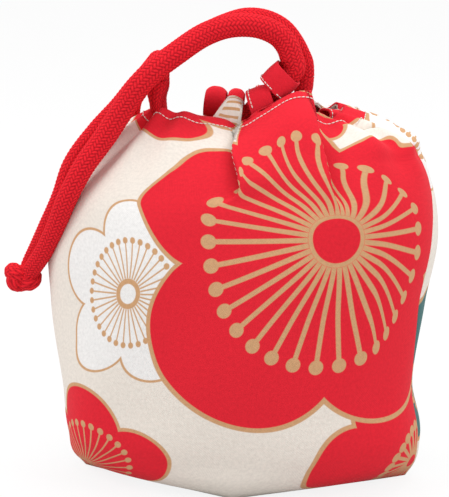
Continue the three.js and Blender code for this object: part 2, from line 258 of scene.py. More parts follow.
def blossom(tree, spot, under, centre, reach, notch, turn, line, stamens, petal, loose=(0, 0), small=(0, 0)):
    """Five-petalled blossom on the cloth. A petal is a circle about a point off the centre, and the five are
    folded to one by the angle. line is the outline's width. stamens gives their number, the disc's and the
    ring's radius, the length, the width and the end dot's radius, all in millimetres of cloth, and their lag
    in degrees. loose gives a direction and how many degrees the notch there is drawn off its even place.
    small gives a direction and by what share the petal there is smaller."""
    half_petal = np.cos(np.pi / PETALS)
    lobe = (reach**2 + notch**2 - 2 * reach * notch * half_petal) / (2 * (reach - notch * half_petal))
    from_centre = node(tree, "ShaderNodeVectorMath", spot, (*centre, 0), operation="SUBTRACT")
    x, y = flat_axes(tree, from_centre)
    r = node(tree, "ShaderNodeVectorMath", from_centre, operation="LENGTH", out=1)
    angle = calc(tree, "ARCTAN2", y, x)

    def near(direction, sharpness):
        """Cosine of the angle from that direction, to the power of the sharpness."""
        off = calc(tree, "SUBTRACT", angle, np.radians(direction))
        return calc(tree, "POWER", calc(tree, "MAXIMUM", calc(tree, "COSINE", off), 0.0), sharpness)

    petal_angle = calc(tree, "MULTIPLY_ADD", near(loose[0], LOOSE_SHARPNESS), np.radians(loose[1]), angle)
    larger = calc(tree, "MULTIPLY_ADD", near(small[0], SMALL_SHARPNESS), small[1], 1.0)
    petal_r = calc(tree, "MULTIPLY", larger, r)

    def folded(direction, distance, start, count, place):
        """Distances from the nearest of count rays, and from the point on it at that radius."""
        wedge = calc(tree, "PINGPONG", calc(tree, "SUBTRACT", direction, start), np.pi / count)
        across = calc(tree, "MULTIPLY", distance, calc(tree, "SINE", wedge))
        along = calc(tree, "MULTIPLY", distance, calc(tree, "COSINE", wedge))
        both = node(tree, "ShaderNodeCombineXYZ", calc(tree, "SUBTRACT", along, place), across, 0.0)
        return across, node(tree, "ShaderNodeVectorMath", both, operation="LENGTH", out=1)

    to_petal = folded(petal_angle, petal_r, np.radians(turn), PETALS, reach - lobe)[1]
    petal_edge = calc(tree, "SUBTRACT", to_petal, lobe)
    petal_edge = calc(tree, "MINIMUM", petal_edge, calc(tree, "SUBTRACT", r, HEART * notch))
    count, disc, ring, length, width, dot, lag = stamens
    across, to_dot = folded(angle, r, np.radians(turn - lag), count, length)
    rib = calc(tree, "SUBTRACT", across, width / 2)
    rib = calc(tree, "MAXIMUM", rib, calc(tree, "SUBTRACT", r, length))
    rib = calc(tree, "MAXIMUM", rib, calc(tree, "SUBTRACT", ring, r))
    end = calc(tree, "SUBTRACT", to_dot, dot)
    collar = calc(tree, "ABSOLUTE", calc(tree, "SUBTRACT", r, (disc + ring) / 2))
    collar = calc(tree, "SUBTRACT", collar, (ring - disc) / 2)
    outline = calc(tree, "SUBTRACT", calc(tree, "ABSOLUTE", petal_edge), line / 2)
    drawn = calc(tree, "MINIMUM", calc(tree, "MINIMUM", rib, end), collar)
    drawn = calc(tree, "MINIMUM", calc(tree, "MAXIMUM", drawn, petal_edge), outline)
    fill = node(tree, "ShaderNodeMapRange", petal_edge, -FILL_EDGE, FILL_EDGE, 1.0, 0.0)
    ink = node(tree, "ShaderNodeMapRange", drawn, -INK_EDGE, INK_EDGE, 1.0, 0.0)
    return mixed_colour(tree, ink, mixed_colour(tree, fill, under, hex_colour(petal)), hex_colour(TAN))


def printed_cotton(name, blossoms):
    """Printed cotton sheeting, plain weave, matt, its blossoms laid one over the other on a cream ground."""
    made, tree, shader = material(name, *COTTON)
    spot = node(tree, "ShaderNodeUVMap", uv_map="cloth_mm")
    colour = hex_colour(CREAM)
    for settings in blossoms:
        colour = blossom(tree, spot, colour, **settings)
    finish_cloth(tree, shader, colour, spot)
    return made


BIG_STAMENS = (34, 11.7, 13.9, 63, 2.5, 3.6, 4.4)
MIDDLE_STAMENS = (34, 6, 8, 34, 1.4, 2.2, 0)
SHORT_STAMENS = (34, 6, 8, 27, 1.4, 2.2, 0)
SLIM_STAMENS = (34, 5, 6.5, 27.5, 1.2, 2.2, 0)
FLANK_STAMENS = (34, 5, 7.7, 26, 0.8, 1.6, 0)
LOW_LEFT_STAMENS = (34, 2.5, 3.5, 31, 0.9, 1.8, 0)
LOW_RIGHT_STAMENS = (22, 4, 6, 20.5, 1.9, 2.9, 0)
NO_STAMENS = (34, 0, 0, 0, 0, 0, 0)
NO_LINE = -2  # an outline's width that leaves it out
FRONT_BLOSSOMS = [
    dict(
        centre=(-104.3, 105.2), reach=48, notch=33, turn=88, line=1.3, stamens=FLANK_STAMENS,
        petal=PETAL_WHITE,
    ),
    dict(centre=(-125, 3), reach=51, notch=38.5, turn=92, line=1.9, stamens=LOW_LEFT_STAMENS, petal=RED),
    dict(centre=(44, 15), reach=50.5, notch=37.5, turn=175, line=2.4, stamens=NO_STAMENS, petal=RED),
    dict(centre=(63, 9), reach=50, notch=40, turn=175, line=NO_LINE, stamens=LOW_RIGHT_STAMENS, petal=RED),
    dict(centre=(-97, 252), reach=55.3, notch=41.5, turn=270, line=2.2, stamens=NO_STAMENS, petal=RED),
    dict(centre=(32.4, 261.5), reach=54, notch=40.5, turn=270, line=2.4, stamens=NO_STAMENS, petal=RED),
    dict(
        centre=(-0.6, 134.2), reach=106, notch=79.5, turn=90.5, line=2.4, stamens=BIG_STAMENS, petal=RED,
        loose=(205, 11.5), small=(177, 0.045),
    ),
]
BACK_BLOSSOMS = [
    dict(centre=(36, 192), reach=49, notch=37, turn=148, line=1.6, stamens=SLIM_STAMENS, petal=PETAL_WHITE),
    dict(centre=(8, 286), reach=58, notch=43, turn=270, line=2.4, stamens=MIDDLE_STAMENS, petal=RED),
    dict(centre=(34, 56), reach=55, notch=41, turn=204, line=2.2, stamens=SHORT_STAMENS, petal=TEAL),
    dict(centre=(165, 120), reach=100, notch=74, turn=90, line=2.6, stamens=BIG_STAMENS, petal=RED),
    dict(centre=(225, 5), reach=46, notch=35, turn=80, line=2.0, stamens=MIDDLE_STAMENS, petal=TEAL),
]
front_print = printed_cotton("printed_cotton_front", FRONT_BLOSSOMS)
back_print = printed_cotton("printed_cotton_back", BACK_BLOSSOMS)


def plain_cotton(name, code):
    """Dyed cotton of one colour, plain weave, matt."""
    made, tree, shader = material(name, *COTTON)
    spot = node(tree, "ShaderNodeUVMap", uv_map="cloth_mm")
    tint = node(tree, "ShaderNodeRGB")
    tint.default_value = hex_colour(code)
    finish_cloth(tree, shader, tint, spot)
    return made


STRIPE_GAP = 3.4
STRIPE_SLANT = -0.25
STRIPE_HALF = (0.55, 0.85)  # half width of a stripe, full and faded
STRIPE_REACH = (4.2, 4.6)  # distance from the loop's middle where the stripes end, full and faded


def striped_cotton(name):
    """The cream part of the same print on a loop: tan stamens run across it at a slant."""
    made, tree, shader = material(name, *COTTON)
    spot = node(tree, "ShaderNodeUVMap", uv_map="cloth_mm")
    x, y = flat_axes(tree, spot)
    slant = calc(tree, "ADD", calc(tree, "MULTIPLY", x, STRIPE_SLANT), y)
    across = calc(tree, "PINGPONG", slant, STRIPE_GAP / 2)
    ink = node(tree, "ShaderNodeMapRange", across, *STRIPE_HALF, 1.0, 0.0)
    edge = node(tree, "ShaderNodeMapRange", calc(tree, "ABSOLUTE", x), *STRIPE_REACH, 1.0, 0.0)
    ink = calc(tree, "MULTIPLY", ink, edge)
    finish_cloth(tree, shader, mixed_colour(tree, ink, hex_colour(CREAM), hex_colour(TAN)), spot)
    return made


red_cotton = plain_cotton("red_cotton", RED)
lining_cotton = plain_cotton("lining_cotton", LINING)
loop_stripes = striped_cotton("striped_cotton")

# Cotton sewing thread, twisted and slightly shiny.
thread, tree, shader = material("sewing_thread", 0.6, 0.35, 0.2)
twist = node(tree, "ShaderNodeTexNoise", node(tree, "ShaderNodeTexCoord", out=3), None, *TWIST)
shade = node(tree, "ShaderNodeMapRange", twist, *NOISE_SPAN, *TWIST_LEVEL)
thread_colour = node(tree, "ShaderNodeHueSaturation", 0.5, 1.0, shade, 1.0, hex_colour(THREAD))
tree.links.new(thread_colour, shader.inputs["Base Color"])

# Braided cotton cord: the crossing strands are in the mesh, and the gaps between them are painted darker as
# shade.
braid, tree, shader = material("braided_cotton", 0.85, 0.12, 0.0)
relief = node(tree, "ShaderNodeAttribute", attribute_name="relief", out=2)
fibre = node(tree, "ShaderNodeTexNoise", node(tree, "ShaderNodeTexCoord", out=3), None, *FIBRES)
# painted shade: where the relief is low, between the strands, the colour falls to the darker gap red
raised = calc(tree, "ADD", relief, node(tree, "ShaderNodeMapRange", fibre, *NOISE_SPAN, *FIBRE_RELIEF))
raised = node(tree, "ShaderNodeMapRange", raised, *STRAND_EDGE, 0.0, 1.0)
braid_colour_with_gap_shade = mixed_colour(tree, raised, hex_colour(CORD_GAP_SHADE), hex_colour(CORD_RED))
tree.links.new(braid_colour_with_gap_shade, shader.inputs["Base Color"])


# Cords

CORD_RADIUS = 5.0
BRAID_CELLS = 16  # round the cord
BRAID_LENGTH = 2.0
BRAID_RELIEF = 0.4
CORD_SIDES = 112
CORD_STEP = 0.45


def braid_height(around, along):
    """Two sets of strands wind round the cord opposite ways, each over two of the other and then under two.
    A strand's height is a sine arch across it, to the power of 0.7, times a lower sine arch along the two
    crossings where it lies on top."""
    p = BRAID_CELLS * around + along / BRAID_LENGTH
    q = BRAID_CELLS * around - along / BRAID_LENGTH
    crossing = (np.floor(p) + np.floor(q)) % 4
    first = crossing < 2
    across = np.sin(np.pi * np.where(first, p % 1, q % 1))
    lengthwise = np.sin(np.pi * np.where(first, crossing + q % 1, crossing - 2 + p % 1) / 2)
    return across**0.7 * (0.45 + 0.55 * lengthwise)


def cord_tube(name, path, reference, width=1.0, height=1.0, radius=None, start=0.0):
    """Braided tube along a path: an oval section in the plane across the path, its first axis as near to the
    reference direction as it can be, with the strands' height added. Gives the object and its length."""
    tangent = np.gradient(path, axis=0)
    tangent /= np.linalg.norm(tangent, axis=1)[:, None]
    reference = np.broadcast_to(np.asarray(reference, float), path.shape)
    side = reference - (reference * tangent).sum(1)[:, None] * tangent
    side /= np.linalg.norm(side, axis=1)[:, None]
    other = np.cross(tangent, side)
    along = start + np.concatenate([[0], np.cumsum(np.linalg.norm(np.diff(path, axis=0), axis=1))])
    around = np.arange(CORD_SIDES) / CORD_SIDES
    lift = braid_height(around[None, :], along[:, None])
    radius = np.full(len(path), CORD_RADIUS) if radius is None else radius
    reach = (radius - BRAID_RELIEF)[:, None] + BRAID_RELIEF * lift
    turn = 2 * np.pi * around
    width = np.broadcast_to(width, len(path))[:, None]
    height = np.broadcast_to(height, len(path))[:, None]
    out = (width * np.cos(turn))[..., None] * side[:, None]
    out = out + (height * np.sin(turn))[..., None] * other[:, None]
    grid = path[:, None] + reach[..., None] * out
    obj = grid_object(name, grid, wrap=True, poles=(path[0], path[-1]), values=lift)
    obj.data.materials.append(braid)
    return obj, along[-1] - start


# The right cord's tails rise from the loops, arch over the mouth and lie down the left flank.
RIGHT_FRONT_ROUTE = [
    (26.9, -9.2, 208.5), (25.6, -9.4, 213), (23.9, -9.8, 218.2), (20.3, -10.5, 223.4), (12.3, -13, 228.2),
    (1.7, -16, 229.9), (-7, -18.5, 228.9), (-14, -20.5, 226.4), (-28, -26, 217.6), (-44.1, -29.5, 204.4),
    (-53.3, -29.5, 191.7), (-62.9, -30.5, 177), (-73.6, -33.5, 161.7), (-81.3, -34, 147),
    (-88.2, -30, 131.3), (-97, -23.5, 115), (-102, -19.3, 107.8), (-104.5, -17, 103.5),
]
RIGHT_BACK_ROUTE = [
    (30.1, 8.5, 208.4), (28.4, 7, 213), (26, 5, 218.2), (19.8, 2, 226.4), (11.3, -1, 230.9),
    (3.3, -4, 231.9), (-7.1, -8, 229.3), (-16.4, -11.2, 225), (-29.1, -15.6, 215.9), (-47, -18.7, 202.4),
    (-58, -18.4, 189.3), (-69, -18.6, 177.4), (-81.3, -20.8, 160.3), (-86.4, -22.6, 145.6),
    (-94.4, -18.5, 128.8), (-101.6, -11.5, 114.5), (-104.2, -8.8, 109.5), (-106, -9.5, 105),
]
LEFT_FRONT_ROUTE = [
    (-40, -7.6, 206.8), (-39.6, -5.2, 208.2), (-41.9, -1.6, 207.4), (-48.6, 6.8, 200), (-54.4, 16.2, 191.8),
    (-60.5, 23.8, 183), (-64.5, 30, 171), (-71.2, 36.6, 157), (-76.6, 42, 141), (-77.5, 46, 124),
    (-75.1, 50.6, 109), (-71.3, 54.4, 97.2), (-69, 56, 92),
]
LEFT_BACK_ROUTE = [
    (-41.8, 10.3, 206.5), (-42.3, 13.2, 208), (-46, 21, 204.5), (-53, 29, 195), (-59.5, 36, 183),
    (-61.5, 41.8, 170), (-62.5, 46, 156), (-64.5, 50.2, 140), (-65.5, 53.8, 122), (-63.3, 56.3, 109),
    (-61.4, 57.4, 99.9), (-62.5, 58, 94),
]
NECKS = {
    "right_front": [(22.6, -10.3, 203), (25.2, -9.6, 205.6), (26.9, -9.2, 208.5)],
    "right_back": [(30.5, 9, 202), (30.4, 8.9, 205), (30.1, 8.5, 208.4)],
    "left_front": [(-40.2, -8.4, 201.5), (-40.2, -8.2, 204.2), (-40, -7.6, 206.8)],
    "left_back": [(-41.5, 9, 202), (-41.5, 9.4, 204.5), (-41.8, 10.3, 206.5)],
}
TAILS = [  # name, route, direction of the section's first axis, thickness at the loops and at the knot
    ("right_front", RIGHT_FRONT_ROUTE, (0, 1, 0), 1.17, 0.92),
    ("right_back", RIGHT_BACK_ROUTE, (0, 1, 0), 1.02, 0.92),
    ("left_front", LEFT_FRONT_ROUTE, (1, 1, 0), 1.0, 0.85),
    ("left_back", LEFT_BACK_ROUTE, (1, 0, 0), 1.0, 0.85),
]

SLIMMING = (-0.8, 1)  # the smooth step's part that thins a tail, from its neck to its knot

for name, route, reference, thick, slim in TAILS:
    cord, strand = name.split("_")
    # The neck, which bends, and the tail are one curve, cut at the route's second point.
    whole = smooth_path(NECKS[name][:-1] + route, CORD_STEP)
    cut = int(np.argmin(np.linalg.norm(whole - np.array(route[1]), axis=1)))
    neck_path, tail_path = whole[:cut + 1], whole[cut:]
    swell = CORD_RADIUS * np.linspace(1, thick, len(neck_path))
    neck, neck_length = cord_tube(f"{name}_cord_neck", neck_path, reference, radius=swell)
    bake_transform(neck)
    near_knot = ease(np.linspace(*SLIMMING, len(tail_path)))
    swell = CORD_RADIUS * (thick + (slim - thick) * near_knot)
    tail, length = cord_tube(f"{name}_cord_tail", tail_path, reference, radius=swell, start=neck_length)
    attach(tail, f"{cord}_tails")
    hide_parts(f"{cord}_cord_{strand}_tail")


KNOT_HALF = (10.5, 9, 7.5)
KNOT_CORD = 4.6  # radius of the cord where the knot squeezes it
KNOT_STEPS = 360
KNOT_SIDES = 48


def knot(name, at, turn):
    """Overhand knot pulled tight: a tube along the trefoil curve of sin t + 2 sin 2t, -sin 3t and
    cos t - 2 cos 2t, scaled so that the tube's outside has the knot's half sizes, then turned about Y."""
    t = np.linspace(0, 2 * np.pi, KNOT_STEPS + 1)[:-1]
    wide = (np.sin(t) + 2 * np.sin(2 * t)) / 3
    tall = (np.cos(t) - 2 * np.cos(2 * t)) / 3
    curve = np.stack([wide, -np.sin(3 * t), tall], axis=1) * (np.array(KNOT_HALF) - KNOT_CORD)
    c, s = np.cos(turn), np.sin(turn)
    curve = curve @ np.array([[c, 0, -s], [0, 1, 0], [s, 0, c]]) + np.asarray(at)
    tangent = np.roll(curve, -1, axis=0) - np.roll(curve, 1, axis=0)
    tangent /= np.linalg.norm(tangent, axis=1)[:, None]
    side = np.array([0.0, 1.0, 0.0]) - tangent[:, 1:2] * tangent
    side /= np.linalg.norm(side, axis=1)[:, None]
    other = np.cross(tangent, side)
    around = np.arange(KNOT_SIDES) / KNOT_SIDES
    along = np.concatenate([[0], np.cumsum(np.linalg.norm(np.diff(curve, axis=0), axis=1))])
    lift = braid_height(around[None, :], along[:, None])
    across, up = np.cos(2 * np.pi * around), np.sin(2 * np.pi * around)
    out = across[None, :, None] * side[:, None] + up[None, :, None] * other[:, None]
    grid = curve[:, None] + (KNOT_CORD - BRAID_RELIEF + BRAID_RELIEF * lift)[..., None] * out
    closed, lift = np.concatenate([grid, grid[:1]]), np.concatenate([lift, lift[:1]])
    obj = grid_object(name, closed, wrap=True, values=lift)
    obj.data.materials.append(braid)
    return obj


knots = {
    "right": knot("right_cord_end_knot", (-108.3, -14, 101.8), 0.25),
    "left": knot("left_cord_end_knot", (-66, 59.2, 91.5), 0.0),
}
for cord, piece in knots.items():
    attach(piece, f"{cord}_tails")
    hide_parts(f"{cord}_cord_knot")

# Each cord's doubled run in the loops, from one neck round the far end to the other.
RIGHT_RUN = [
    (22.6, -10.3, 203), (18.5, -11, 199.3), (13, -10.5, 194.5), (6, -8, 186), (-1, -5, 177),
    (-9, -3.5, 171), (-18, -3, 169), (-25, -2.5, 168.5), (-29.5, 0, 168.5), (-29.5, 4, 168.5),
    (-25, 7, 168), (-18, 8.5, 167.5), (-8, 9, 167.5), (3, 9, 168), (13, 9, 170), (21, 9, 175),
    (26.5, 9, 183), (29.5, 9, 193), (30.5, 9, 202),
]
LEFT_RUN = [
    (-40.2, -8.4, 201.5), (-40.8, -8.6, 196.5), (-41.5, -8.4, 190), (-41, -8.2, 183.5), (-37.5, -8.5, 177),
    (-31, -10, 172.5), (-20, -12, 171), (-8, -13, 171), (4, -13.5, 172), (15, -14, 174), (27, -14, 175),
    (37, -12, 175), (42.5, -7, 174), (44, 0, 173), (42.5, 8, 171), (37, 14, 169), (28, 17.5, 168),
    (12, 18.5, 167), (-3, 18.5, 166.5), (-18, 17.5, 166.5), (-29, 14, 168), (-36.5, 10.5, 173),
    (-40, 9.2, 180), (-41.3, 9, 190), (-41.5, 9, 202),
]
RUN_STEP = 0.8
RUN_MIDDLE = np.array([4.0, 0, 0])
LANE_TOP = 197  # below this height the two cords share the loops and are pressed flat
LANE_FADE = 9
PRESSED, SPREAD = 0.45, 0.1  # how much thinner and wider the pressed cord is
for cord, route in (("right", RIGHT_RUN), ("left", LEFT_RUN)):
    path = smooth_path(route, RUN_STEP)
    outward = (path - RUN_MIDDLE) * (1, 1, 0)
    lane = ease((LANE_TOP - path[:, 2]) / LANE_FADE)
    run, _ = cord_tube(f"{cord}_cord_run", path, outward, width=1 - PRESSED * lane, height=1 + SPREAD * lane)
    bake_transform(run)
    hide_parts(f"{cord}_cord_mouth_run", f"{cord}_cord_front_exit", f"{cord}_cord_back_exit")


# The bag

SECTIONS = np.array([  # height, half width to the left and right, half depth, squareness
    (0, 80, 84, 45, 1.04), (6, 85.5, 88, 52, 1.5), (20, 89, 90.5, 57, 2.05), (48, 90.5, 86.5, 61, 2.2),
    (92, 94.8, 92, 62, 2.2), (125, 95.8, 98.5, 60, 2.2), (150, 86, 95, 54, 2.2), (166, 70, 88.5, 45, 2.2),
    (177, 57, 79, 34, 2.4), (184, 44, 49.55, 19.55, 3),
], float)
FOOT, SHOULDER, RIM = 20.0, 140.0, 184.0
ROWS = (13, 60, 88)  # of the grid, up to each of these heights
COLUMNS = {"front": 281, "back": 221}
WAIST = 48  # height where the print's own heights are the bag's
LEFT_SEAM = np.radians(170)  # where the left side seam stands round the bag, counted from +X
RIGHT_SEAM_HEIGHTS = [0, 50, 76, 100, 125, 140, 150, 160, 172, 179, 184]
RIGHT_SEAM_TURNS = [357, 356, 349, 345.5, 347, 353, 358, 358.5, 357, 345, 312]
PRINT_TURN = {"front": np.radians(299.3), "back": np.radians(-9.9)}  # of the print's zero
FRONT_LIFT = np.array([  # along X, height of the front rim above its section
    (-45, 1.5), (-41, 3), (-33, 3.4), (-26, 3.4), (-18, 3.4), (-10, 2.2), (-2, 0.8), (2, -1.5), (5, -4),
    (9.5, -2.8), (13.5, 1.5), (20, 8), (28, 13), (33, 11.5), (37, 7), (42, 3.5), (50, 2.5), (66, 1),
    (80, -1.5), (97, 0),
])
BACK_LIFT = np.array([
    (-45, 1), (-36, -2.5), (-14, -3.5), (2, 0), (30, 3.5), (50, 2.5), (66, 1), (80, -1.5), (97, 0),
])
PLEAT_ROLL = 2.5  # width of a pleat's rounded edge
PLEAT_FADE = 15  # how far its upper layer takes to flatten out
PLEAT_TUCK = 9  # how far its lower layer takes to come back
FRONT_PLEAT = dict(  # its right side lies over its left side
    edge=([140, 149, 153, 158, 162, 166, 171, 178, 184], [-8, -6, 1, 6.2, 6, 4.8, 2.9, 2.5, 5]), side=1,
    foot=149, growth=12, over=4.2, under=5.0, pull=5.5, spread=8,
)
RIGHT_PLEAT = dict(  # its left side lies over its right side
    edge=([140, 149, 156, 169, 179, 184], [57, 52, 47.2, 42, 37.3, 34]), side=-1,
    foot=144, growth=18, over=2.2, under=3.6, pull=4.0, spread=7,
)
FRONT_FADE = 12  # how far in from the side the front's own folds take to grow
GATHER_FOOT = 150
GATHER_DEPTH = 1.8
GATHERS = 15  # round the mouth
UNEVEN = 0.6  # how unevenly they stand
PLEATED_MIDDLE, PLEATED_HALF = 12, 34  # along X, where the front has its two pleats instead
SLACK = [(0.7, 5, 26, 0), (0.5, 9, -17, 1)]  # depth, waves round the bag, climb of a wave and its start
SLACK_FOOT, SEAM_FOOT = 25, 10  # heights over which the slack and the seams' dips grow
SEAM_DEPTH, SEAM_WIDTH = 0.9, 1.6
SLOPE_STEP = 0.05
SHOULDER_CLOTH = 26  # more cloth up the shoulder than its smooth section has
SHOULDER_FOOT, SHOULDER_LENGTH = 132, 80  # where it is taken up, in lengths up the wall
FLOOR_ROWS = 8
FLOOR_TUCK = 6


def right_seam(z):
    """Turn of the right side seam at height z: it swings to the front as it climbs over the shoulder."""
    return np.radians(through(z, RIGHT_SEAM_HEIGHTS, RIGHT_SEAM_TURNS))


def bag_point(turn, z):
    """Superellipse section at height z: cosine and sine of the turn, each raised to 2 over the squareness,
    times the half width of its side and the half depth."""
    left, right, depth, square = np.moveaxis(through(z, SECTIONS[:, 0], SECTIONS[:, 1:]), -1, 0)
    across, along = np.cos(turn), np.sin(turn)
    half = np.where(across < 0, left, right)
    x = np.sign(across) * np.abs(across) ** (2 / square) * half
    y = np.sign(along) * np.abs(along) ** (2 / square) * depth
    return np.stack([x, y, np.broadcast_to(z, x.shape)], axis=-1)


def pleat(x, z, edge, side, foot, growth, over, under, pull, spread):
    """Cloth beside a pleat, s millimetres from its edge on the side that lies on top. Below the edge it sinks
    by under and comes back exponentially. On top it rolls up to over, flattens out in a bell curve and is
    pulled towards the edge. All of it grows from the foot. Gives s, the height and the shift along X."""
    s = side * (x - through(z, *edge))
    rolling = -under + (over + under) * ease(s / PLEAT_ROLL)
    rolled = np.where(s < PLEAT_ROLL, rolling, over * bell(s - PLEAT_ROLL, PLEAT_FADE))
    height = np.where(s < 0, -under * np.exp(np.minimum(s, 0) / PLEAT_TUCK), rolled)
    pulled = np.where(s > 0, ease(s / PLEAT_ROLL) * bell(np.maximum(s - PLEAT_ROLL, 0), spread), 0)
    grown = ease((z - foot) / growth)
    return s, grown * height, -side * pull * grown * pulled


def front_drift(x, z, u, s1, s2):
    """How the front's print lies off the smooth section's lengths, in millimetres of cloth: what the pleats
    hide, how far the wall's stretch shifts it round the bag, and how much more the shoulder takes up. Each
    line is one place, an amount that grows along X or u and up z. s1 and s2 are the distances from the edges
    of the two pleats."""
    hidden = -22 * ease((z - 147) / 19) * (1 - ease((s1 + 1) / 8))  # under the front pleat
    hidden += 9 * ease((z - 148) / 20) * ease((x - 16) / 16)  # between the pleats
    deep = 19 * ease((z - 141) / 25) + 14 * ease((z - 162) / 12)
    hidden += deep * (1 - ease((s2 + 5) / 10))  # under the right pleat
    stretch = 20 * ease((u - 20) / 28) * ease((z - 40) / 45)  # right flank
    stretch -= 16 * ease((u - 44) / 24) * ease((z - 135) / 20)  # right shoulder
    stretch -= 13 * ease((x - 78) / 8) * ease((z - 155) / 12)  # its corner
    stretch -= 2 * bell(u + 58, 25) * (1 - ease((z - 140) / 15))  # left of the big blossom
    stretch -= 0.2 * np.maximum(-u - 78, 0) * ease((z - 55) / 25)  # left flank
    more = 13 * bell(x - 48, 9) - 4 * bell(x - 30, 12)  # beside the right pleat
    more -= 7 * ease((-x - 5) / 15)  # left of the front pleat
    more -= SHOULDER_CLOTH * ease((x - 60) / 18) * ease((z - 163) / 9)  # right shoulder's top
    return hidden, stretch, more


def bag_grid(half, inset):
    """Wall and half floor of one half of the bag: the sections' points, moved along their normal by the
    pleats, the sine gathers, which grow towards the rim, and the sine slack of the wall. Gives points and
    cloth coordinates (round, up)."""
    zones = zip((0, FOOT, SHOULDER), (FOOT, SHOULDER, RIM), ROWS)
    heights = [np.linspace(low, high, count, endpoint=False) for low, high, count in zones]
    heights = np.concatenate([*heights, [RIM]])
    seam_right = right_seam(heights)[:, None]
    start, end = (LEFT_SEAM, seam_right) if half == "front" else (seam_right - 2 * np.pi, LEFT_SEAM)
    share = np.linspace(0, 1, COLUMNS[half])
    turn = start + (end - start) * share
    z = np.broadcast_to(heights[:, None], turn.shape)
    smooth = bag_point(turn, z)
    x, y = smooth[..., 0], smooth[..., 1]
    around = np.gradient(smooth, axis=1)
    climbing = (bag_point(turn, z + SLOPE_STEP) - bag_point(turn, z - SLOPE_STEP)) / (2 * SLOPE_STEP)
    normal = np.cross(around, climbing)
    normal /= np.linalg.norm(normal, axis=-1)[..., None]
    front = ease(-y / FRONT_FADE)

    # Cloth lengths round each row from the print's zero, and up the wall.
    steps = np.linalg.norm(np.diff(smooth, axis=1), axis=-1)
    arc = np.concatenate([np.zeros((len(heights), 1)), np.cumsum(steps, axis=1)], axis=1)
    place = (PRINT_TURN[half] - start) / (end - start) * (len(share) - 1)
    first = np.maximum(place, 0).astype(int)
    part = place - first
    zero = np.take_along_axis(arc, first, 1) * (1 - part) + np.take_along_axis(arc, first + 1, 1) * part
    length = np.linalg.norm(climbing, axis=-1)
    rows = 0.5 * (length[1:] + length[:-1]) * np.diff(heights)[:, None]
    climb = np.concatenate([np.zeros((1, len(share))), np.cumsum(rows, axis=0)], axis=0)
    waist = int(np.argmin(np.abs(heights - WAIST)))
    cloth_u = arc - zero
    cloth_v = climb - climb[waist] + WAIST

    s1, lift1, slide1 = pleat(x, z, **FRONT_PLEAT)
    s2, lift2, slide2 = pleat(x, z, **RIGHT_PLEAT)
    lift = front * (lift1 + lift2)
    slide = front * (slide1 + slide2)
    # Smaller gathers round the rest of the mouth, slack in the wall, and the seams drawn in.
    gather = ease((z - GATHER_FOOT) / (RIM - GATHER_FOOT))
    elsewhere = 1 - front * np.exp(-((x - PLEATED_MIDDLE) / PLEATED_HALF) ** 4)
    lift += GATHER_DEPTH * gather * elsewhere * np.sin(GATHERS * turn + UNEVEN * np.sin(3 * turn))
    slack = sum(deep * np.sin(waves * turn + z / climbs + begin) for deep, waves, climbs, begin in SLACK)
    lift += ease(z / SLACK_FOOT) * slack
    from_seam = np.minimum(share, 1 - share) * arc[:, -1:]
    lift -= SEAM_DEPTH * bell(from_seam, SEAM_WIDTH) * ease(z / SEAM_FOOT)

    rise = gather * np.where(y < 0, through(x, *FRONT_LIFT.T), through(x, *BACK_LIFT.T))
    wall = smooth + normal * (lift - inset)[..., None]
    wall[..., 0] += slide
    wall[..., 2] = np.maximum(wall[..., 2] + rise, inset)

    # Half floor, from the seam along X out to the foot of the wall.
    part_in = np.linspace(1, 0, FLOOR_ROWS + 1)[:-1, None]
    foot_x, foot_y = wall[0, :, 0], wall[0, :, 1]
    floor_x = foot_x - np.sign(foot_x) * np.minimum(FLOOR_TUCK, np.abs(foot_x) / 2) * part_in
    floor = np.stack([floor_x, foot_y * (1 - part_in), np.full_like(floor_x, inset)], axis=-1)

    taken = SHOULDER_CLOTH
    if half == "front":
        hidden, stretch, more = front_drift(x, z, cloth_u, s1, s2)
        taken = taken + more
        cloth_u = cloth_u + front * hidden + slide + stretch
    cloth_v = cloth_v + rise + taken * ease((cloth_v - SHOULDER_FOOT) / SHOULDER_LENGTH)
    cloth_u = np.concatenate([floor_x - foot_x + cloth_u[0], cloth_u])
    cloth_v = np.concatenate([cloth_v[0] - np.abs(foot_y) * part_in, cloth_v])
    return np.concatenate([floor, wall]), np.stack([cloth_u, cloth_v], axis=-1)


CLOTH = 1.0
LINING_CLOTH = 0.8
LINING_INSET = 1.3  # from the outside
cloths = {}
for half, print_material in (("front", front_print), ("back", back_print)):
    layers = (
        ("cloth", 0, CLOTH, print_material, "panel", "printed_cotton"),
        ("lining_cloth", LINING_INSET, LINING_CLOTH, lining_cotton, "lining", "lining_cotton"),
    )
    for layer, inset, thickness, finish, stands_for, slot in layers:
        grid, uv = bag_grid(half, inset)
        piece = grid_object(f"{half}_{layer}", grid, uv)
        piece.data.materials.append(finish)
        thicken(piece, thickness)
        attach(piece, "bag")
        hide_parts(f"{half}_{stands_for}")
        cloths[half, layer] = (piece, grid)


# Topstitching: dashes of thread along the rim

STITCH_RINGS = 7
STITCH_SIDES = 6
STITCH_ARCH = (0.06, 0.94)  # the sine arch's part that thickens a stitch, from end to end
RIM_STITCH = (1.7, 0.35, 0.52)  # length of a stitch, gap and thickness
RIM_STITCH_OFF = 0.3  # how far a stitch's middle lies off the cloth
RIM_STITCH_ROW = -6  # row of the cloth's grid, from the rim
LOOP_STITCH = (1.6, 0.35, 0.5)
LOOP_STITCH_OFF = 0.25


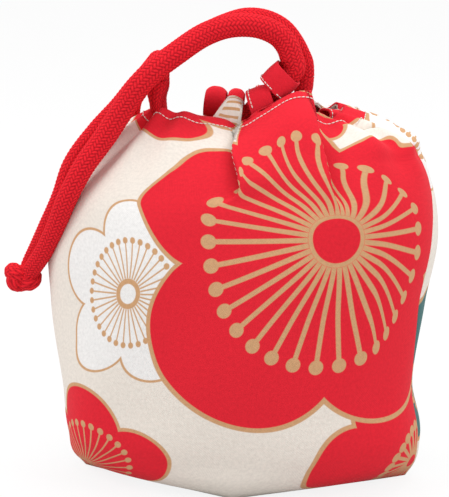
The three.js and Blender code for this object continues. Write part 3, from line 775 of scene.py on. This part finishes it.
def dashes(name, path, normal, dash, gap, width):
    """Row of stitches: each is a short tube of six sides along the path, thicker in its middle (the root of a
    sine arch) and lying on the cloth."""
    run = np.concatenate([[0], np.cumsum(np.linalg.norm(np.diff(path, axis=0), axis=1))])
    count = int(run[-1] // (dash + gap))
    places = np.arange(count)[:, None] * (dash + gap) + np.linspace(0, dash, STITCH_RINGS)[None, :]
    centre = np.stack([np.interp(places, run, path[:, k]) for k in range(3)], axis=-1)
    out = np.stack([np.interp(places, run, normal[:, k]) for k in range(3)], axis=-1)
    out /= np.linalg.norm(out, axis=-1)[..., None]
    tangent = np.gradient(centre, axis=1)
    tangent /= np.linalg.norm(tangent, axis=-1)[..., None]
    side = np.cross(tangent, out)
    arch = np.sin(np.pi * np.linspace(*STITCH_ARCH, STITCH_RINGS)) ** 0.5
    turn = 2 * np.pi * np.arange(STITCH_SIDES)[:, None] / STITCH_SIDES
    ring = np.cos(turn) * side[:, :, None] + np.sin(turn) * out[:, :, None]
    points = centre[:, :, None] + 0.5 * width * arch[:, None, None] * ring
    r, c = np.meshgrid(np.arange(STITCH_RINGS - 1), np.arange(STITCH_SIDES), indexing="ij")
    first = (r * STITCH_SIDES + c).ravel()
    second = (r * STITCH_SIDES + (c + 1) % STITCH_SIDES).ravel()
    quads = np.stack([first, first + STITCH_SIDES, second + STITCH_SIDES, second], axis=1)
    corners = STITCH_RINGS * STITCH_SIDES
    ends = np.stack([np.arange(STITCH_SIDES), np.arange(corners - 1, corners - 1 - STITCH_SIDES, -1)])
    shift = (np.arange(count) * corners)[:, None, None]
    faces = (quads + shift).reshape(-1, 4).tolist()
    faces += (ends + shift).reshape(-1, STITCH_SIDES).tolist()
    mesh = bpy.data.meshes.new(name)
    mesh.from_pydata((points.reshape(-1, 3) * MM).tolist(), [], faces)
    mesh.polygons.foreach_set("use_smooth", np.ones(len(mesh.polygons), bool))
    obj = bpy.data.objects.new(name, mesh)
    bpy.context.collection.objects.link(obj)
    obj.data.materials.append(thread)
    return obj


for half in ("front", "back"):
    grid = cloths[half, "cloth"][1]
    row = grid[RIM_STITCH_ROW]
    normal = np.cross(np.gradient(row, axis=0), grid[-1] - grid[RIM_STITCH_ROW - 3])
    normal /= np.linalg.norm(normal, axis=1)[:, None]
    line = dashes(f"{half}_rim_stitching", row + RIM_STITCH_OFF * normal, normal, *RIM_STITCH)
    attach(line, "bag")
    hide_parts(f"{half}_topstitch")


# Sewn loops

LOOP_CLOTH = 1.2
LOOP_POINTS = 96  # round the ring
LOOP_COLUMNS = 25  # across the strip
LOOP_MIDDLE = LOOP_COLUMNS // 2
LOOP_BULGE = 0.05
LOOP_CLOSING = 0.4  # cloth length of the ring's last step


def loop(name, centre, size, width, lean, finish, turn=0.0, stitched=(), taper=0.0, corner=3.2, droop=0.0):
    """Folded cloth strip sewn into a ring round the cords: a superellipse of that depth and height carried
    along the cords' direction over its width, then leaned in the plane of the rim and turned about Z. The
    strip bulges a little in its middle by a cosine, narrows by taper to its top and droops at its upper
    corners by a cube. A row of stitches runs along each stitched column of its grid."""
    depth, height = size
    t = np.linspace(0, 2 * np.pi, LOOP_POINTS + 1)[:-1]
    square_y = np.sign(np.cos(t)) * np.abs(np.cos(t)) ** (2 / corner) * depth / 2
    square_z = np.sign(np.sin(t)) * np.abs(np.sin(t)) ** (2 / corner) * height / 2
    across = np.linspace(-0.5, 0.5, LOOP_COLUMNS)[:, None]
    puff = 1 + LOOP_BULGE * np.cos(np.pi * across)
    x = across * width * (1 - taper * square_z / height)
    y = -square_y * puff
    z = square_z * (puff - droop * np.abs(2 * across) ** 3 * (square_z > 0))
    c, s = np.cos(lean), np.sin(lean)
    x, z = x * c + z * s, z * c - x * s
    c, s = np.cos(turn), np.sin(turn)
    placed = np.stack([x * c - y * s, x * s + y * c, z], axis=-1) + np.asarray(centre, float)
    middle = placed[LOOP_MIDDLE]
    ring = np.concatenate([[0], np.cumsum(np.linalg.norm(np.diff(middle, axis=0), axis=1))])
    ring = np.append(ring, ring[-1] + LOOP_CLOSING)
    uv = np.stack(np.broadcast_arrays(across * width, ring[None, :]), axis=-1)
    obj = grid_object(name, placed[:, ::-1], uv[:, ::-1], wrap=True)
    obj.data.materials.append(finish)
    thicken(obj, LOOP_CLOTH)
    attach(obj, "bag")
    rows = []
    for column in stitched:
        path = placed[column]
        normal = np.cross(np.gradient(path, axis=0), placed[LOOP_MIDDLE + 1] - placed[LOOP_MIDDLE - 1])
        normal /= np.linalg.norm(normal, axis=1)[:, None]
        normal *= np.sign(((path - middle.mean(0)) * normal).sum(1).mean())
        line = dashes(f"{name}_stitching_{column}", path + LOOP_STITCH_OFF * normal, normal, *LOOP_STITCH)
        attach(line, "bag")
        rows.append(line)
    return obj, rows


BOTH_EDGES = (2, 22)
LOOPS = {
    "front_loop_1": dict(
        centre=(-3.6, -12.5, 187), size=(12, 15), width=12, lean=0.38, finish=loop_stripes,
        taper=0.55, droop=0.2,
    ),
    "front_loop_2": dict(
        centre=(11.8, -12.8, 191.6), size=(13.4, 16), width=12, lean=-0.32, finish=red_cotton, stitched=(3,),
    ),
    "front_loop_3": dict(
        centre=(20.2, -12.6, 202.8), size=(13.4, 15.5), width=11.5, lean=-0.78, finish=red_cotton,
        stitched=(2,),
    ),
    "back_loop_1": dict(
        centre=(-14, 12.6, 187.8), size=(13, 15), width=10.5, lean=0.12, finish=red_cotton,
        corner=2.0, droop=0.28,
    ),
    "back_loop_2": dict(
        centre=(-4, 12.6, 187.6), size=(13, 13.5), width=8, lean=0.15, finish=red_cotton,
        corner=2.0, droop=0.28,
    ),
    "back_loop_3": dict(
        centre=(12, 12.6, 189), size=(13, 14.5), width=11, lean=-0.05, finish=red_cotton,
        stitched=BOTH_EDGES,
    ),
    "right_end_loop": dict(
        centre=(44.5, 0, 182.4), size=(9, 9), width=11, lean=0.2, finish=red_cotton, turn=np.radians(50),
        stitched=BOTH_EDGES,
    ),
}
sewn = {"front": [], "back": []}
for name, settings in LOOPS.items():
    obj, rows = loop(f"{name}_strip", **settings)
    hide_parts(name)
    sewn["back" if name.startswith("back") else "front"] += [obj, *rows]


# Floor, lamps and background

def seen_directly(tree):
    """1 for what the camera or a gloss sees, 0 for light that bounces off."""
    rays = [node(tree, "ShaderNodeLightPath", out=kind) for kind in ("Is Camera Ray", "Is Glossy Ray")]
    return calc(tree, "MAXIMUM", *rays)


WHITE = (1, 1, 1, 1)
PAPER = "#D0D0D0"
PAPER_GLOW = 1.08  # the paper is lit to white in the photo
PAPER_GLOW_SHARE = 0.8
WORLD_LIGHT, WORLD_SEEN = 0.72, 1.0
FLOOR_HALF = 8  # metres
FLOOR_GAP = 0.0004

floor_mesh = bpy.data.meshes.new("studio_floor")
corners = [(x * FLOOR_HALF, y * FLOOR_HALF, 0) for x, y in ((-1, -1), (1, -1), (1, 1), (-1, 1))]
floor_mesh.from_pydata(corners, [], [(0, 1, 2, 3)])
floor = bpy.data.objects.new("studio_floor", floor_mesh)
floor.location.z = -FLOOR_GAP
bpy.context.collection.objects.link(floor)
# Pale seamless backing paper.
paper, tree, shader = material("pale_paper", 0.95, 0.1, 0.0)
shader.inputs["Base Color"].default_value = hex_colour(PAPER)
glow = node(tree, "ShaderNodeEmission", WHITE, PAPER_GLOW)
glow_share = calc(tree, "MULTIPLY", seen_directly(tree), PAPER_GLOW_SHARE)
lit_paper = node(tree, "ShaderNodeMixShader", glow_share, shader.outputs[0], glow)
tree.links.new(lit_paper, tree.nodes["Material Output"].inputs["Surface"])
floor_mesh.materials.append(paper)

world = bpy.data.worlds.new("studio")
bpy.context.scene.world = world
world.use_nodes = True
tree = world.node_tree
background = tree.nodes["Background"]
world_level = node(tree, "ShaderNodeMapRange", seen_directly(tree), 0.0, 1.0, WORLD_LIGHT, WORLD_SEEN)
tree.links.new(world_level, background.inputs["Strength"])
background.inputs["Color"].default_value = WHITE


LAMP_AIM = Vector((0, 0, 0.1))


def lamp(name, at, size, power):
    """Square area lamp that faces the pouch's middle; place and size in metres, power in watts."""
    data = bpy.data.lights.new(name, "AREA")
    data.size = size
    data.energy = power
    made = bpy.data.objects.new(name, data)
    made.location = at
    made.rotation_euler = (LAMP_AIM - Vector(at)).to_track_quat("-Z", "Y").to_euler()
    bpy.context.collection.objects.link(made)


lamp("key_softbox", (-1.4, -0.7, 1.4), 0.9, 13)
lamp("fill_softbox", (1.5, -0.6, 1.1), 1.0, 9)
lamp("top_softbox", (0.1, 0.2, 1.6), 0.9, 10)

bpy.context.scene.view_settings.view_transform = "Standard"
